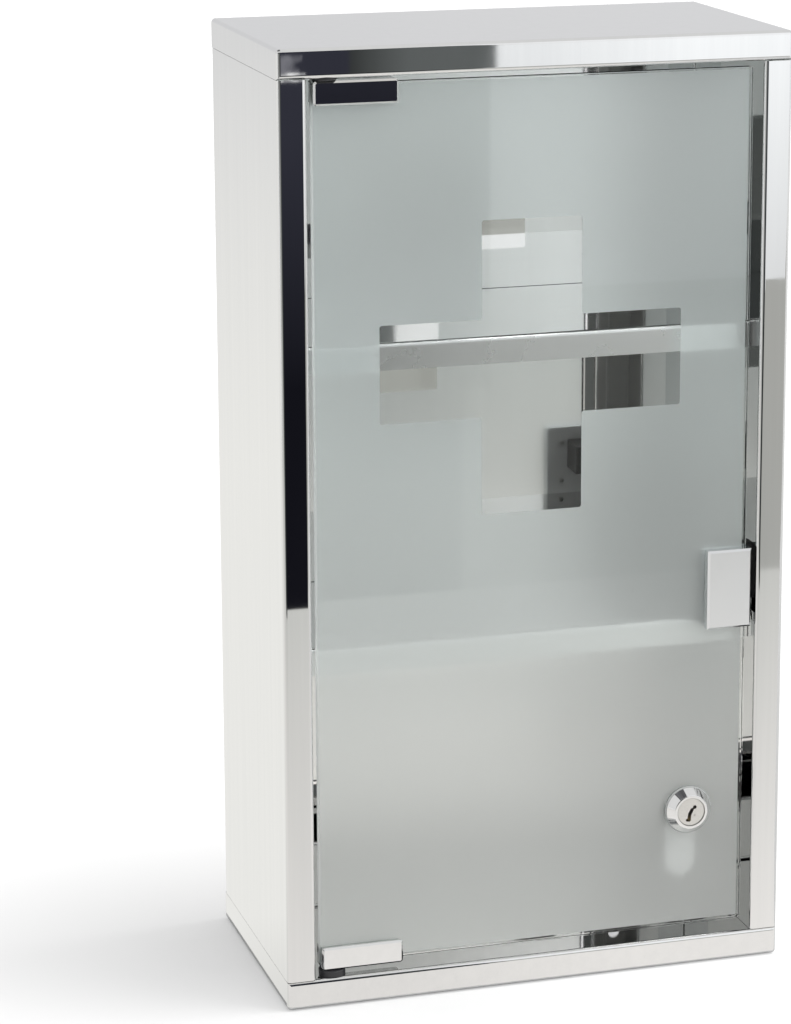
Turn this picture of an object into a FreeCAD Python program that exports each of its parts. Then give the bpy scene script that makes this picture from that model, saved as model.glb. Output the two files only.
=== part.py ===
import FreeCAD, Part
import math
import os

os.makedirs("parts", exist_ok=True)
Vector = FreeCAD.Vector

# Wall cabinet for medicines, folded from polished stainless sheet, with a frosted glass door.
# Lengths are millimetres. X runs to the right, Y to the back, Z up; the origin is the centre of the base.

# Case
case_width = 250.0
case_depth = 130.0
case_height = 460.0
sheet = 0.8
fold_radius = 2.0
cap_height = 14.0
rail_return = 20.0
stile_width = 14.0
stile_return = 20.0
rear_flange = 15.0
seam_gap = 0.15
tongue_rise = 10.0
tongue_lap = 8.0
tongue_setback = 6.0
back_panel_side_gap = 2.5
back_panel_end_gap = 0.2

# Wall fixing holes in the back panel
wall_hole_radius = 3.0
wall_hole_from_side = 40.0
wall_hole_from_end = 60.0

# Rivets between the back panel and the side panels
rivets_per_side = 5
rivet_radius = 1.6
rivet_head_radius = 3.2
rivet_tail_radius = 2.3
rivet_tail_height = 1.4
rivet_end_distance = 40.0
rivet_hole_clearance = 0.05

# Shelves
upper_shelf_height = 319.5
lower_shelf_height = 174.0
shelf_recess = 14.6
shelf_front_lip = 13.0
shelf_rear_lip = 12.0
shelf_notch_gap = 0.4

# Glass door
glass_thickness = 4.0
glass_recess = 5.5
glass_side_gap = 3.5
glass_corner_radius = 1.5
glass_arris = 0.4

# Frosted film behind the glass, with a plain cross left clear
film_thickness = 0.2
film_clearance = 0.02
film_margin = 1.2
film_gap = 0.3
film_lap = 1.0
cross_arm_width = 49.6
cross_arm_height = 47.0
cross_left_shift = 1.0
cross_height = 305.4
cross_corner_radius = 1.3

# Hinges: a clamp, a pin and a flanged bush at each end of the door
pivot_inset = 9.7
pin_radius = 2.5
pin_reach = 3.0
pin_chamfer = 0.5
pin_seat_clearance = 0.02
pin_running_clearance = 0.08
top_collar = 1.2
top_collar_clearance = 0.4
bottom_collar = 2.9
bottom_collar_clearance = 0.1
collar_radius = 6.4
collar_chamfer = 0.4
bush_neck_radius = 4.4
bush_hole_clearance = 0.1
bush_neck_height = 4.2
bush_lip = 0.5
bush_lip_height = 0.9
clamp_length = 40.2
clamp_tail = 5.8
clamp_height = 11.2
clamp_front = 2.2
clamp_rear = 3.0
clamp_web = 1.2
clamp_corner_radius = 1.5
clamp_chamfer = 0.9
pad_thickness = 0.4
pad_clearance = 0.02
grub_radius = 2.0
grub_thread_clearance = 0.03
grub_socket = 2.0
grub_socket_depth = 1.6
grub_end_distance = 10.0

# Handle clip on the free edge of the glass
handle_width = 21.2
handle_height = 39.1
handle_bottom = 170.4
handle_proud = 5.0
handle_rear = 1.8
handle_web = 0.9
handle_bevel = 1.0
handle_screw_radius = 1.5
handle_screw_from_end = 9.0
handle_screw_from_web = 13.0
handle_screw_clearance = 0.03
handle_socket = 1.5

# Magnetic catch on the right return
catch_width = 14.0
catch_depth = 16.0
catch_height = 15.0
catch_bottom = 187.7
catch_ear_height = 6.5
catch_ear_thickness = 3.0
catch_gap = 0.3
pole_proud = 0.4
pole_thickness = 1.2
pole_height = 11.0
pole_depth = 11.0
magnet_width = 6.0
magnet_depth = 9.5
pocket_clearance = 0.1
catch_corner_radius = 1.0
catch_screw_radius = 1.5
catch_screw_head_radius = 2.6
catch_screw_head_height = 1.4
catch_screw_slot_width = 0.8
catch_screw_slot_depth = 0.7
catch_screw_reach = 3.0
catch_screw_from_end = 3.25
catch_screw_clearance = 0.1
catch_screw_setback = 3.8

# Cam lock through the glass
lock_inset = 28.3
lock_height = 78.4
lock_bore_clearance = 0.06
lock_hole_clearance = 0.45
barrel_radius = 8.8
barrel_end_setback = 0.4
bezel_base_radius = 11.4
bezel_front_radius = 8.4
bezel_height = 4.5
bezel_base_height = 0.8
bezel_round = 0.5
front_gasket_radius = 12.0
rear_gasket_radius = 10.6
gasket_thickness = 0.5
nut_across_flats = 21.0
nut_thickness = 3.5
nut_clearance = 0.05
plug_head_radius = 7.1
plug_head_height = 2.0
plug_head_recess = 0.35
plug_head_chamfer = 0.4
plug_radius = 6.0
plug_shoulder_clearance = 0.1
keyway_width = 1.8
keyway_depth = 16.5
keyway_dot_radius = 0.95
keyway_dot_right = 1.9
keyway_dot_up = 2.3
keyway_neck_width = 0.8
keyway_top_right = 0.5
keyway_top_up = 1.1
keyway_waist_left = 0.7
keyway_waist_down = 1.2
keyway_heel_left = 1.0
keyway_heel_down = 4.0
keyway_toe_left = 2.0
keyway_toe_width = 1.4
keyway_lean = 20.0
plug_mark_radius = 0.6
plug_mark_depth = 0.4
plug_mark_right = 1.7
plug_mark_down = 1.5
wafer_count = 5
wafer_width = 5.4
wafer_height = 9.8
wafer_thickness = 0.6
wafer_pitch = 2.4
wafer_first = 4.2
wafer_clearance = 0.05
wafer_window_width = 3.6
wafer_window_height = 8.0
cam_width = 15.0
cam_reach = 38.0
cam_thickness = 2.0
cam_gap = 0.5
cam_tenon = 6.5
cam_tenon_clearance = 0.05
tenon_shortfall = 0.1
cam_washer_radius = 4.8
cam_washer_thickness = 0.6
cam_screw_radius = 2.0
cam_screw_length = 6.0
cam_screw_head_radius = 4.2
cam_screw_head_height = 2.2
cam_screw_clearance = 0.05
cam_screw_slot_width = 1.0
cam_screw_slot_depth = 1.0

# Every cut runs this far past the faces that it opens
overrun = 1.0

# Planes and places that more than one piece uses
half_width = case_width / 2
half_depth = case_depth / 2
half_sheet = sheet / 2
wall_inside = half_width - sheet
opening_half = half_width - stile_width
opening_bottom = cap_height
opening_top = case_height - cap_height
front_face = -half_depth
return_end = front_face + stile_return
flange_face = half_depth - 2 * sheet
back_inside = flange_face
glass_front = front_face + glass_recess
glass_rear = glass_front + glass_thickness
glass_half = opening_half - glass_side_gap
pivot_x = -opening_half + pivot_inset
pivot_y = (glass_front + glass_rear) / 2
door_bottom = opening_bottom + bottom_collar + bottom_collar_clearance
door_top = opening_top - top_collar - top_collar_clearance
door_middle = (door_bottom + door_top) / 2
glass_bottom = door_bottom + clamp_web + pad_thickness
glass_top = door_top - clamp_web - pad_thickness
lock_x = glass_half - lock_inset
handle_top = handle_bottom + handle_height
handle_inner_x = glass_half - handle_width
handle_outer_x = glass_half + pad_thickness + handle_web
handle_rear_face = glass_rear + pad_thickness + handle_rear


def block(x0, x1, y0, y1, z0, z1):
    """A box between two corners, given in any order along X."""
    low, high = min(x0, x1), max(x0, x1)
    return Part.makeBox(high - low, y1 - y0, z1 - z0, Vector(low, y0, z0))


def rod_x(radius, y, z, x0, x1):
    """A cylinder along X."""
    return Part.makeCylinder(radius, x1 - x0, Vector(x0, y, z), Vector(1, 0, 0))


def rod_y(radius, x, z, y0, y1):
    """A cylinder along Y."""
    return Part.makeCylinder(radius, y1 - y0, Vector(x, y0, z), Vector(0, 1, 0))


def rod_z(radius, x, y, z0, z1):
    """A cylinder along Z."""
    return Part.makeCylinder(radius, z1 - z0, Vector(x, y, z0), Vector(0, 0, 1))


def cone_y(radius0, radius1, x, z, y0, y1):
    """A cone along Y from one radius to another."""
    return Part.makeCone(radius0, radius1, y1 - y0, Vector(x, y0, z), Vector(0, 1, 0))


def hexagon_y(across_flats, x, z, y0, y1):
    """A hexagonal prism along Y."""
    corner_radius = across_flats / math.sqrt(3)
    corners = []
    for step in range(7):
        angle = math.radians(60 * step)
        corners.append(Vector(x + corner_radius * math.cos(angle), y0, z + corner_radius * math.sin(angle)))
    return Part.Face(Part.makePolygon(corners)).extrude(Vector(0, y1 - y0, 0))


def edges_where(shape, test):
    """The edges whose bounding box passes a test."""
    return [edge for edge in shape.Edges if test(edge.BoundBox)]


def same(first, second):
    """True where two coordinates agree."""
    return abs(first - second) < sheet / 100


def along_y(box):
    """True for an edge that runs only along Y."""
    return same(box.XMin, box.XMax) and same(box.ZMin, box.ZMax)


def along_z(box):
    """True for an edge that runs only along Z."""
    return same(box.XMin, box.XMax) and same(box.YMin, box.YMax)


def turn_in_door(shape, degrees):
    """Turn a lock piece about the lock's own axis."""
    return shape.rotated(Vector(lock_x, 0, lock_height), Vector(0, 1, 0), degrees)


def other_end_of_door(shape):
    """The same piece at the bottom of the door."""
    return shape.mirror(Vector(0, 0, door_middle), Vector(0, 0, 1))


def folded_sheet(points, height):
    """A sheet folded along a centreline of (x, y) points, standing from z = 0 to a height.

    Each corner of the centreline becomes an arc, and the two sides lie half a thickness away.
    """
    bend = fold_radius - half_sheet
    sides = []
    for sign in (1, -1):
        edges = []
        last = None
        for index, (px, py) in enumerate(points):
            here = Vector(px, py, 0)
            before = Vector(*points[index - 1], 0) if index else None
            after = Vector(*points[index + 1], 0) if index + 1 < len(points) else None
            leave = (after - here).normalize() if after else None
            arrive = (here - before).normalize() if before else leave
            leave = leave or arrive
            normal_in = Vector(-arrive.y, arrive.x, 0)
            normal_out = Vector(-leave.y, leave.x, 0)
            offset = sign * half_sheet
            if before is None or after is None:
                point = here + normal_in * offset
                if last:
                    edges.append(Part.LineSegment(last, point).toShape())
                last = point
                continue
            turn = math.copysign(1, arrive.x * leave.y - arrive.y * leave.x)
            length = bend * math.tan(arrive.getAngle(leave) / 2)
            start = here - arrive * length
            centre = start + normal_in * (turn * bend)
            middle_normal = (normal_in + normal_out).normalize()
            middle = centre - middle_normal * (turn * bend - offset)
            start = start + normal_in * offset
            end = here + leave * length + normal_out * offset
            edges.append(Part.LineSegment(last, start).toShape())
            edges.append(Part.Arc(start, middle, end).toShape())
            last = end
        sides.append(edges)
    ends = []
    for first, second in ((sides[0][0].Vertexes[0], sides[1][0].Vertexes[0]),
                          (sides[0][-1].Vertexes[-1], sides[1][-1].Vertexes[-1])):
        ends.append(Part.LineSegment(first.Point, second.Point).toShape())
    outline = Part.Wire(Part.__sortEdges__(sides[0] + sides[1] + ends))
    return Part.Face(outline).extrude(Vector(0, 0, height))


def cap_fold(box):
    """True for the edges of the cap's block that are folded or pressed round."""
    lowest_front = same(box.YMax, front_face) and same(box.ZMax, opening_top)
    return along_z(box) or same(box.ZMin, case_height) or lowest_front


def top_cap():
    """Pressed tray over the top: a plate, four skirts, and a front return that makes the rail."""
    outer = block(-half_width, half_width, -half_depth, half_depth, opening_top, case_height)
    outer = outer.makeFillet(fold_radius, edges_where(outer, cap_fold))
    hollow = block(-wall_inside, wall_inside, front_face + sheet, half_depth - sheet,
                   opening_top + sheet, case_height - sheet)
    hollow = hollow.makeFillet(fold_radius - sheet, hollow.Edges)
    below = hollow.translated(Vector(0, 0, -sheet - fold_radius))
    behind_rail = block(-half_width, half_width, front_face + rail_return, half_depth,
                        opening_top - overrun, case_height - fold_radius)
    cap = outer.cut(hollow).cut(below.common(behind_rail))
    hole = rod_z(bush_neck_radius + bush_hole_clearance, pivot_x, pivot_y,
                 opening_top - overrun, opening_top + sheet + overrun)
    return cap.cut(hole)


def bottom_cap():
    """The same tray turned over, under the case."""
    return top_cap().mirror(Vector(0, 0, case_height / 2), Vector(0, 0, 1))


def rivet_heights():
    """Heights of the rivets along each rear edge."""
    span = case_height - 2 * rivet_end_distance
    return [rivet_end_distance + span * step / (rivets_per_side - 1) for step in range(rivets_per_side)]


def rivet_places():
    """(x, z) of every rivet, at the middle of the rear flanges."""
    across = half_width - rear_flange / 2
    return [(side * across, height) for side in (-1, 1) for height in rivet_heights()]


def side_panel(side):
    """One folded panel: return, stile, wall and rear flange, with a tongue into each cap."""
    return_x = side * (opening_half + half_sheet)
    wall_x = side * (half_width - half_sheet)
    flange_x = side * (half_width - rear_flange)
    front_y = front_face + half_sheet
    rear_y = flange_face - half_sheet
    outline = [(return_x, return_end), (return_x, front_y), (wall_x, front_y),
               (wall_x, rear_y), (flange_x, rear_y)]
    height = opening_top - opening_bottom - 2 * seam_gap
    panel = folded_sheet(outline, height)
    panel.translate(Vector(0, 0, opening_bottom + seam_gap))
    tongue_front = return_end + tongue_setback
    tongue_back = flange_face - tongue_setback
    for low, high in ((opening_top - tongue_lap, opening_top + tongue_rise),
                      (opening_bottom - tongue_rise, opening_bottom + tongue_lap)):
        tongue = block(side * (wall_inside - sheet), side * wall_inside, tongue_front, tongue_back, low, high)
        panel = panel.fuse(tongue)
    for x, z in rivet_places():
        if x * side > 0:
            panel = panel.cut(rod_y(rivet_radius + rivet_hole_clearance, x, z,
                                    flange_face - sheet - overrun, flange_face + overrun))
    return panel


def left_side_panel():
    """The panel on the hinge side."""
    return side_panel(-1)


def right_side_panel():
    """The panel on the lock side, drilled for the catch."""
    panel = side_panel(1)
    for z in catch_screw_heights():
        panel = panel.cut(rod_x(catch_screw_radius, catch_screw_y(), z,
                                opening_half - overrun, opening_half + sheet + overrun))
    return panel


def wall_hole_places():
    """(x, z) of the four holes for wall screws."""
    across = half_width - wall_hole_from_side
    return [(side * across, z) for side in (-1, 1)
            for z in (wall_hole_from_end, case_height - wall_hole_from_end)]


def back_panel():
    """Flat sheet on the outside of the rear flanges, held behind the caps' rear skirts."""
    reach = half_width - back_panel_side_gap
    low = fold_radius + back_panel_end_gap
    panel = block(-reach, reach, back_inside, back_inside + sheet, low, case_height - low)
    for x, z in rivet_places():
        panel = panel.cut(rod_y(rivet_radius + rivet_hole_clearance, x, z,
                                back_inside - overrun, back_inside + sheet + overrun))
    for x, z in wall_hole_places():
        panel = panel.cut(rod_y(wall_hole_radius, x, z, back_inside - overrun, back_inside + sheet + overrun))
    return panel


def back_panel_rivets():
    """Blind rivets: a low dome outside, a shank through both sheets and an upset tail inside."""
    rivets = []
    outside = back_inside + sheet
    inside = flange_face - sheet
    for x, z in rivet_places():
        shank = rod_y(rivet_radius, x, z, inside, outside)
        head = cone_y(rivet_head_radius, rivet_head_radius - sheet, x, z, outside, outside + sheet)
        tail = cone_y(rivet_radius, rivet_tail_radius, x, z, inside - rivet_tail_height, inside)
        rivets.append(shank.fuse(head).fuse(tail))
    return Part.makeCompound(rivets)


def shelf_block(side, front, rear, low, height, radius):
    """A block for the shelf's tray, with its two rear corners rounded."""
    body = block(-side, side, front, rear, low, height)
    return body.makeFillet(radius, edges_where(body, lambda box: along_z(box) and same(box.YMin, rear)))


def nose_block(side, front, rear, low, height, radius):
    """A block for the shelf's nose, with its upper front edge rounded."""
    body = block(-side, side, front, rear, low, height)
    return body.makeFillet(radius, edges_where(body, lambda box: same(box.YMax, front) and same(box.ZMin, height)))


def shelf(height):
    """A shelf of one sheet, narrower between the stiles, with lips turned down all round."""
    front = front_face + shelf_recess
    rear = flange_face - sheet
    narrow = opening_half - shelf_notch_gap
    shoulder = return_end + shelf_notch_gap
    bend = fold_radius - sheet
    tray = shelf_block(wall_inside, shoulder, rear, height - shelf_rear_lip, height, fold_radius)
    tray = tray.cut(shelf_block(wall_inside - sheet, shoulder - overrun, rear - sheet,
                                height - shelf_rear_lip - overrun, height - sheet, bend))
    nose = nose_block(narrow, front, shoulder, height - shelf_front_lip, height, fold_radius)
    nose = nose.cut(nose_block(narrow + overrun, front + sheet, shoulder + overrun,
                               height - shelf_front_lip - overrun, height - sheet, bend))
    return tray.fuse(nose).removeSplitter()


def upper_shelf():
    """The shelf seen through the clear cross."""
    return shelf(upper_shelf_height)


def lower_shelf():
    """The shelf below, at the height of the catch."""
    return shelf(lower_shelf_height)


def pivot_bush(collar):
    """Black nylon bush, drawn for the top: collar under the rail, neck through it and a snap lip."""
    under = opening_top - collar
    neck_top = opening_top + bush_neck_height
    ring = rod_z(collar_radius, pivot_x, pivot_y, under, opening_top)
    ring = ring.makeChamfer(collar_chamfer, edges_where(ring, lambda box: same(box.ZMax, under)))
    neck = rod_z(bush_neck_radius, pivot_x, pivot_y, opening_top, neck_top)
    lip_low = opening_top + sheet + bush_hole_clearance
    lip = Part.makeCone(bush_neck_radius + bush_lip, bush_neck_radius, bush_lip_height,
                        Vector(pivot_x, pivot_y, lip_low), Vector(0, 0, 1))
    bore = rod_z(pin_radius + pin_running_clearance, pivot_x, pivot_y, under - overrun, neck_top + overrun)
    return ring.fuse(neck).fuse(lip).cut(bore)


def top_pivot_bush():
    """The bush in the top rail."""
    return pivot_bush(top_collar)


def bottom_pivot_bush():
    """The bush in the bottom rail, with a thicker collar that carries the door."""
    return pivot_bush(bottom_collar).mirror(Vector(0, 0, case_height / 2), Vector(0, 0, 1))


def catch_front():
    """The plane of the catch's poles, just behind the handle's rear plate."""
    return handle_rear_face + catch_gap


def catch_screw_heights():
    """Heights of the two screws, in the ears below and above the catch."""
    low = catch_bottom - catch_screw_from_end
    high = catch_bottom + catch_height + catch_screw_from_end
    return low, high


def catch_screw_y():
    """Depth of the catch's screws, inside the width of the return."""
    return return_end - catch_screw_setback


def catch_middle():
    """(x, z) of the middle of the catch's pocket."""
    return opening_half - catch_width / 2, catch_bottom + catch_height / 2


def catch_housing():
    """Black moulding on the right return: a pocket for the magnet between two screwed ears."""
    front = catch_front() + pole_proud
    left = opening_half - catch_width
    top = catch_bottom + catch_height
    body = block(left, opening_half, front, front + catch_depth, catch_bottom, top)
    left_edges = edges_where(body, lambda box: along_z(box) and same(box.XMin, left))
    body = body.makeFillet(catch_corner_radius, left_edges)
    ear_left = opening_half - catch_ear_thickness
    body = body.fuse(block(ear_left, opening_half, front, return_end,
                           catch_bottom - catch_ear_height, top + catch_ear_height))
    x, z = catch_middle()
    across = magnet_width / 2 + pole_thickness + pocket_clearance
    along = pole_height / 2 + pocket_clearance
    body = body.cut(block(x - across, x + across, front - overrun,
                          catch_front() + pole_depth + pocket_clearance, z - along, z + along))
    seat = ear_left + catch_screw_head_height
    for height in catch_screw_heights():
        body = body.cut(rod_x(catch_screw_radius + catch_screw_clearance, catch_screw_y(), height,
                              ear_left - overrun, opening_half + overrun))
        body = body.cut(rod_x(catch_screw_head_radius + catch_screw_clearance, catch_screw_y(), height,
                              ear_left - overrun, seat))
    return body


def catch_pole_plates():
    """Two steel plates beside the magnet, which reach to the handle's rear plate."""
    x, z = catch_middle()
    plates = []
    for side in (-1, 1):
        inner = x + side * magnet_width / 2
        plates.append(block(inner, inner + side * pole_thickness, catch_front(), catch_front() + pole_depth,
                            z - pole_height / 2, z + pole_height / 2))
    return Part.makeCompound(plates)


def catch_magnet():
    """The magnet between the pole plates, a little behind their front edges."""
    x, z = catch_middle()
    rear = catch_front() + pole_depth
    return block(x - magnet_width / 2, x + magnet_width / 2, rear - magnet_depth, rear,
                 z - pole_height / 2, z + pole_height / 2)


def catch_screws():
    """Two screws through the ears into the return, their heads sunk in the moulding."""
    screws = []
    left = opening_half - catch_ear_thickness
    under_head = left + catch_screw_head_height
    for height in catch_screw_heights():
        head = rod_x(catch_screw_head_radius, catch_screw_y(), height, left, under_head)
        slot = block(left - overrun, left + catch_screw_slot_depth,
                     catch_screw_y() - catch_screw_head_radius, catch_screw_y() + catch_screw_head_radius,
                     height - catch_screw_slot_width / 2, height + catch_screw_slot_width / 2)
        shank = rod_x(catch_screw_radius - catch_screw_clearance, catch_screw_y(), height, under_head,
                      opening_half + sheet + catch_screw_reach)
        screws.append(head.cut(slot).fuse(shank))
    return Part.makeCompound(screws)


def door_glass():
    """The pane, with eased corners and edges and a round hole for the lock."""
    pane = block(-glass_half, glass_half, glass_front, glass_rear, glass_bottom, glass_top)
    pane = pane.makeFillet(glass_corner_radius, edges_where(pane, along_y))
    rims = edges_where(pane, lambda box: same(box.YMin, box.YMax))
    pane = pane.makeChamfer(glass_arris, rims)
    return pane.cut(rod_y(barrel_radius + lock_hole_clearance, lock_x, lock_height,
                          glass_front - overrun, glass_rear + overrun))


def clear_cross():
    """Cutter for the plain cross that the film leaves clear."""
    half_across = cross_arm_width / 2
    half_up = cross_arm_height / 2
    side = cross_arm_width + half_across
    end = cross_arm_height + half_up
    x = -cross_left_shift
    z = cross_height
    near = glass_rear - overrun
    far = glass_rear + film_clearance + film_thickness + overrun
    upright = block(x - half_across, x + half_across, near, far, z - end, z + end)
    level = block(x - side, x + side, near, far, z - half_up, z + half_up)
    cross = upright.fuse(level).removeSplitter()
    return cross.makeFillet(cross_corner_radius, edges_where(cross, along_y))


def frost_film():
    """Frosted film on the rear of the glass, its edges hidden under the hinges, the handle and the lock."""
    start = glass_rear + film_clearance
    end = start + film_thickness
    side = glass_half - film_margin
    film = block(-side, side, start, end, glass_bottom + film_margin, glass_top - film_margin)
    near = start - overrun
    far = end + overrun
    left, right = clamp_span()
    clamp_edge = clamp_height - film_lap
    film = film.cut(block(left, right - film_lap, near, far, glass_bottom, door_bottom + clamp_edge))
    film = film.cut(block(left, right - film_lap, near, far, door_top - clamp_edge, glass_top))
    film = film.cut(block(handle_inner_x + film_lap, glass_half, near, far,
                          handle_bottom + film_lap, handle_top - film_lap))
    film = film.cut(rod_y(rear_gasket_radius + film_gap, lock_x, lock_height, near, far))
    return film.cut(clear_cross())


def clamp_span():
    """The ends of a hinge clamp along X."""
    left = pivot_x - clamp_tail
    return left, left + clamp_length


def grub_places():
    """(x, z) of the two grub screws of the top clamp."""
    left, right = clamp_span()
    height = door_top - (clamp_height + clamp_web + pad_thickness) / 2
    return [(left + grub_end_distance, height), (right - grub_end_distance, height)]


def top_hinge_clamp():
    """Chromed channel over the top edge of the glass, with a bevelled front plate."""
    left, right = clamp_span()
    front = glass_front - pad_thickness - clamp_front
    rear = glass_rear + pad_thickness + clamp_rear
    low = door_top - clamp_height
    body = block(left, right, front, rear, low, door_top)
    body = body.makeFillet(clamp_corner_radius, edges_where(body, along_y))
    rim = edges_where(body, lambda box: same(box.YMin, front) and same(box.YMax, front))
    body = body.makeChamfer(clamp_chamfer, rim)
    slot = block(left - overrun, right + overrun, glass_front - pad_thickness, glass_rear + pad_thickness,
                 low - overrun, door_top - clamp_web)
    body = body.cut(slot)
    body = body.cut(rod_z(pin_radius + pin_seat_clearance, pivot_x, pivot_y,
                          door_top - clamp_web - overrun, door_top + overrun))
    for x, z in grub_places():
        body = body.cut(rod_y(grub_radius, x, z, rear - clamp_rear - overrun, rear + overrun))
    return body


def bottom_hinge_clamp():
    """The same channel under the bottom edge of the glass."""
    return other_end_of_door(top_hinge_clamp())


def top_hinge_pin():
    """Steel pin riveted in the clamp's web, turning in the top bush."""
    pin = rod_z(pin_radius, pivot_x, pivot_y, door_top - clamp_web, opening_top + sheet + pin_reach)
    tip = edges_where(pin, lambda box: same(box.ZMin, opening_top + sheet + pin_reach))
    return pin.makeChamfer(pin_chamfer, tip)


def bottom_hinge_pin():
    """Steel pin that turns in the bottom bush and carries the door."""
    low = opening_bottom - sheet - pin_reach
    pin = rod_z(pin_radius, pivot_x, pivot_y, low, door_bottom + clamp_web)
    tip = edges_where(pin, lambda box: same(box.ZMax, low))
    return pin.makeChamfer(pin_chamfer, tip)


def hinge_pads():
    """Thin liners between the glass and both clamps."""
    left, right = clamp_span()
    inset = film_lap + film_gap
    low = door_top - clamp_height + inset
    outer = block(left + inset, right - inset, glass_front - pad_thickness, glass_rear + pad_thickness,
                  low, glass_top + pad_thickness)
    inner = block(left - overrun, right + overrun, glass_front - pad_clearance, glass_rear + pad_clearance,
                  low - overrun, glass_top + pad_clearance)
    top = outer.cut(inner)
    return Part.makeCompound([top, other_end_of_door(top)])


def hinge_grub_screws():
    """Four set screws in the rear plates, pressed against the liners."""
    screws = []
    tip = glass_rear + pad_thickness
    for x, z in grub_places():
        screw = rod_y(grub_radius - grub_thread_clearance, x, z, tip, tip + clamp_rear)
        socket = hexagon_y(grub_socket, x, z, tip + clamp_rear - grub_socket_depth, tip + clamp_rear + overrun)
        screw = screw.cut(socket)
        screws.append(screw)
        screws.append(other_end_of_door(screw))
    return Part.makeCompound(screws)


def handle_screw_places():
    """(x, z) of the two set screws of the handle."""
    x = glass_half - handle_screw_from_web
    return [(x, handle_bottom + handle_screw_from_end), (x, handle_top - handle_screw_from_end)]


def handle_clip():
    """Chromed clip round the free edge: a thick bevelled front plate, a web and a thin rear plate."""
    front = glass_front - handle_proud
    body = block(handle_inner_x, handle_outer_x, front, handle_rear_face, handle_bottom, handle_top)
    rim = edges_where(body, lambda box: same(box.YMin, front) and same(box.YMax, front))
    body = body.makeChamfer(handle_bevel, rim)
    slot = block(handle_inner_x - overrun, glass_half + pad_thickness, glass_front - pad_thickness,
                 glass_rear + pad_thickness, handle_bottom - overrun, handle_top + overrun)
    body = body.cut(slot)
    for x, z in handle_screw_places():
        body = body.cut(rod_y(handle_screw_radius, x, z, glass_rear, handle_rear_face + overrun))
    return body


def handle_pads():
    """Liner between the glass and the handle, on both faces and the edge."""
    inset = film_lap + film_gap
    outer = block(handle_inner_x + inset, glass_half + pad_thickness, glass_front - pad_thickness,
                  glass_rear + pad_thickness, handle_bottom + inset, handle_top - inset)
    inner = block(handle_inner_x - overrun, glass_half + pad_clearance, glass_front - pad_clearance,
                  glass_rear + pad_clearance, handle_bottom - overrun, handle_top + overrun)
    return outer.cut(inner)


def handle_set_screws():
    """Two set screws, flush in the handle's rear plate."""
    screws = []
    tip = glass_rear + pad_thickness
    for x, z in handle_screw_places():
        screw = rod_y(handle_screw_radius - handle_screw_clearance, x, z, tip, handle_rear_face)
        screw = screw.cut(hexagon_y(handle_socket, x, z, tip + handle_rear / 2, handle_rear_face + overrun))
        screws.append(screw)
    return Part.makeCompound(screws)


def bezel_seat():
    """The plane where the lock's bezel meets its front gasket."""
    return glass_front - gasket_thickness


def bezel_front():
    """The front of the lock's rim."""
    return bezel_seat() - bezel_height


def plug_face():
    """The face of the plug, a little inside the rim."""
    return bezel_front() + plug_head_recess


def barrel_end():
    """The rear end of the lock's barrel."""
    return return_end - barrel_end_setback


def cam_front():
    """The front face of the cam, behind the edge of the return."""
    return return_end + cam_gap


def lock_body():
    """Chromed cone and rim with a straight barrel behind, bored for the plug."""
    rim_back = bezel_seat() - bezel_base_height
    cone = cone_y(bezel_front_radius, bezel_base_radius, lock_x, lock_height, bezel_front(), rim_back)
    rim = edges_where(cone, lambda box: same(box.YMin, bezel_front()) and same(box.YMax, bezel_front()))
    cone = cone.makeFillet(bezel_round, rim)
    base = rod_y(bezel_base_radius, lock_x, lock_height, rim_back, bezel_seat())
    barrel = rod_y(barrel_radius, lock_x, lock_height, bezel_seat(), barrel_end())
    body = cone.fuse(base).fuse(barrel)
    head_room = rod_y(plug_head_radius + lock_bore_clearance, lock_x, lock_height,
                      bezel_front() - overrun, plug_face() + plug_head_height + plug_shoulder_clearance)
    bore = rod_y(plug_radius + lock_bore_clearance, lock_x, lock_height,
                 bezel_front() - overrun, barrel_end() + overrun)
    return body.cut(head_room).cut(bore)


def lock_gaskets():
    """A grey washer under the bezel and another under the nut."""
    hole = barrel_radius + lock_bore_clearance
    front = rod_y(front_gasket_radius, lock_x, lock_height, bezel_seat(), glass_front)
    rear = rod_y(rear_gasket_radius, lock_x, lock_height, glass_rear, glass_rear + gasket_thickness)
    bore = rod_y(hole, lock_x, lock_height, bezel_seat() - overrun, glass_rear + gasket_thickness + overrun)
    return Part.makeCompound([front.cut(bore), rear.cut(bore)])


def lock_nut():
    """Hexagonal nut that draws the bezel against the glass."""
    start = glass_rear + gasket_thickness
    nut = hexagon_y(nut_across_flats, lock_x, lock_height, start, start + nut_thickness)
    return nut.cut(rod_y(barrel_radius + nut_clearance, lock_x, lock_height,
                         start - overrun, start + nut_thickness + overrun))


def slot_between(start, end, width):
    """Cutter for a round-ended slot between two (x, z) places in the face of the plug."""
    near = plug_face() - overrun
    far = plug_face() + keyway_depth
    along = Vector(end[0] - start[0], 0, end[1] - start[1]).normalize()
    aside = Vector(-along.z, 0, along.x) * (width / 2)
    first = Vector(start[0], near, start[1])
    last = Vector(end[0], near, end[1])
    corners = [first + aside, last + aside, last - aside, first - aside, first + aside]
    slot = Part.Face(Part.makePolygon(corners)).extrude(Vector(0, far - near, 0))
    for x, z in (start, end):
        slot = slot.fuse(rod_y(width / 2, x, z, near, far))
    return slot


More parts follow.
